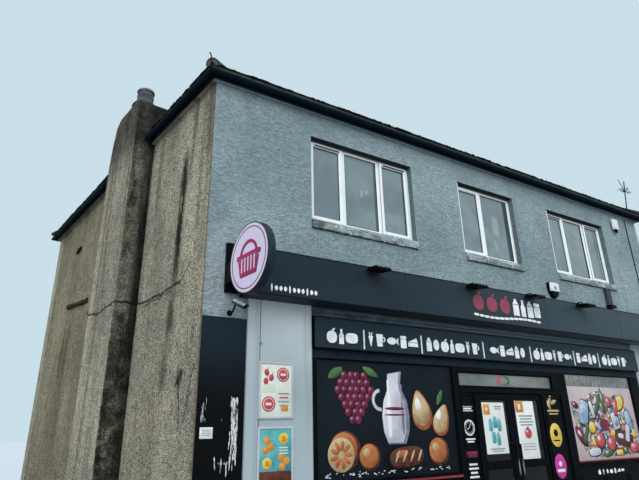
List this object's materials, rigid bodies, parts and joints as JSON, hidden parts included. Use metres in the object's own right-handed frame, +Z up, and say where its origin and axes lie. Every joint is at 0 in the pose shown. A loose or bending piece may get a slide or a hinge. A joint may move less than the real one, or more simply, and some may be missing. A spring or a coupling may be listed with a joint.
{
  "type": "corner shop building",
  "caption": "Two storey rendered corner shop, hollow, with a hipped slate roof, an outside chimney stack, a shopfront and double doors that open.",
  "frame": {"origin": "at ground level under the middle of the front wall's length, half way back to the rear wall", "axes": "+Z up, the shopfront faces -Y, +X runs to the right along the shopfront"},
  "size_m": [12.082, 9.1959, 8.7228],
  "materials": {
    "blue_render": "roughcast painted blue grey",
    "bare_render": "bare weathered roughcast",
    "concrete": "trowelled concrete",
    "floor_timber": "worn boards",
    "plaster": "painted board on joists",
    "slate": "weathered slate",
    "ridge_clay": "weathered clay bedded in mortar",
    "black_paint": "weathered gloss paint on boards",
    "black_plastic": "satin",
    "pot_clay": "sooty clay",
    "iron": "rusty",
    "aerial_metal": "weathered",
    "white_plastic": "satin",
    "window_glass": "clear",
    "sill_concrete": "weathered painted concrete",
    "grey_paint": "satin",
    "charcoal_metal": "satin powder coat",
    "shop_glass": "clear",
    "handle_steel": "satin",
    "sign_panel": "satin",
    "sign_board": "satin",
    "black_panel": "gloss",
    "pale_boarding": "smooth painted board",
    "poster_white": "satin",
    "round_sign_face": "gloss",
    "silver_metal": "satin"
  },
  "bodies": {
    "building": {"front_wall": "blue_render", "front_piers": "blue_render", "left_wall": "bare_render", "right_wall": "bare_render", "rear_wall_lower": "bare_render", "rear_wall_upper": "bare_render", "ground_floor": "concrete", "upper_floor": "floor_timber", "ceiling": "plaster", "roof_front": "slate", "roof_right": "slate", "roof_rear": "slate", "roof_left": "slate", "ridge_and_hip_tiles": "ridge_clay", "soffit_boards": "blue_render", "fascia_boards": "black_paint", "gutters": "black_plastic", "downpipe": "black_plastic", "chimney_stack": "bare_render", "chimney_pot": "pot_clay", "hip_iron": "iron", "tv_aerial": "aerial_metal", "window_frames": "white_plastic", "window_glass": "window_glass", "window_sills": "sill_concrete", "rear_door": "grey_paint", "shopfront_head": "charcoal_metal", "shop_window_frames": "charcoal_metal", "shop_glass": "shop_glass", "shop_panels": "charcoal_metal", "door_posts": "charcoal_metal", "transom_frame": "charcoal_metal", "long_sign": "sign_panel", "sign_lights": "black_plastic", "lower_sign": "sign_board", "corner_panel": "black_panel", "pilasters": "pale_boarding", "poster_frames": "poster_white", "round_sign": "round_sign_face", "cctv_camera": "silver_metal", "alarm_box": "white_plastic", "flood_light": "white_plastic", "vent_duct": "grey_paint"},
    "left_leaf": {"left_door": "charcoal_metal", "left_door_glass": "shop_glass", "left_door_handles": "handle_steel"},
    "right_leaf": {"right_door": "charcoal_metal", "right_door_glass": "shop_glass", "right_door_handles": "handle_steel"}
  },
  "joints": [
    {"name": "left_door_hinge", "type": "hinge", "parent": "building", "child": "left_leaf", "pos_m": [-0.866, -3.847, 0], "axis": [0, 0, 1], "range_deg": [0, 90]},
    {"name": "right_door_hinge", "type": "hinge", "parent": "building", "child": "right_leaf", "pos_m": [0.666, -3.847, 0], "axis": [0, 0, -1], "range_deg": [0, 90]}
  ]
}
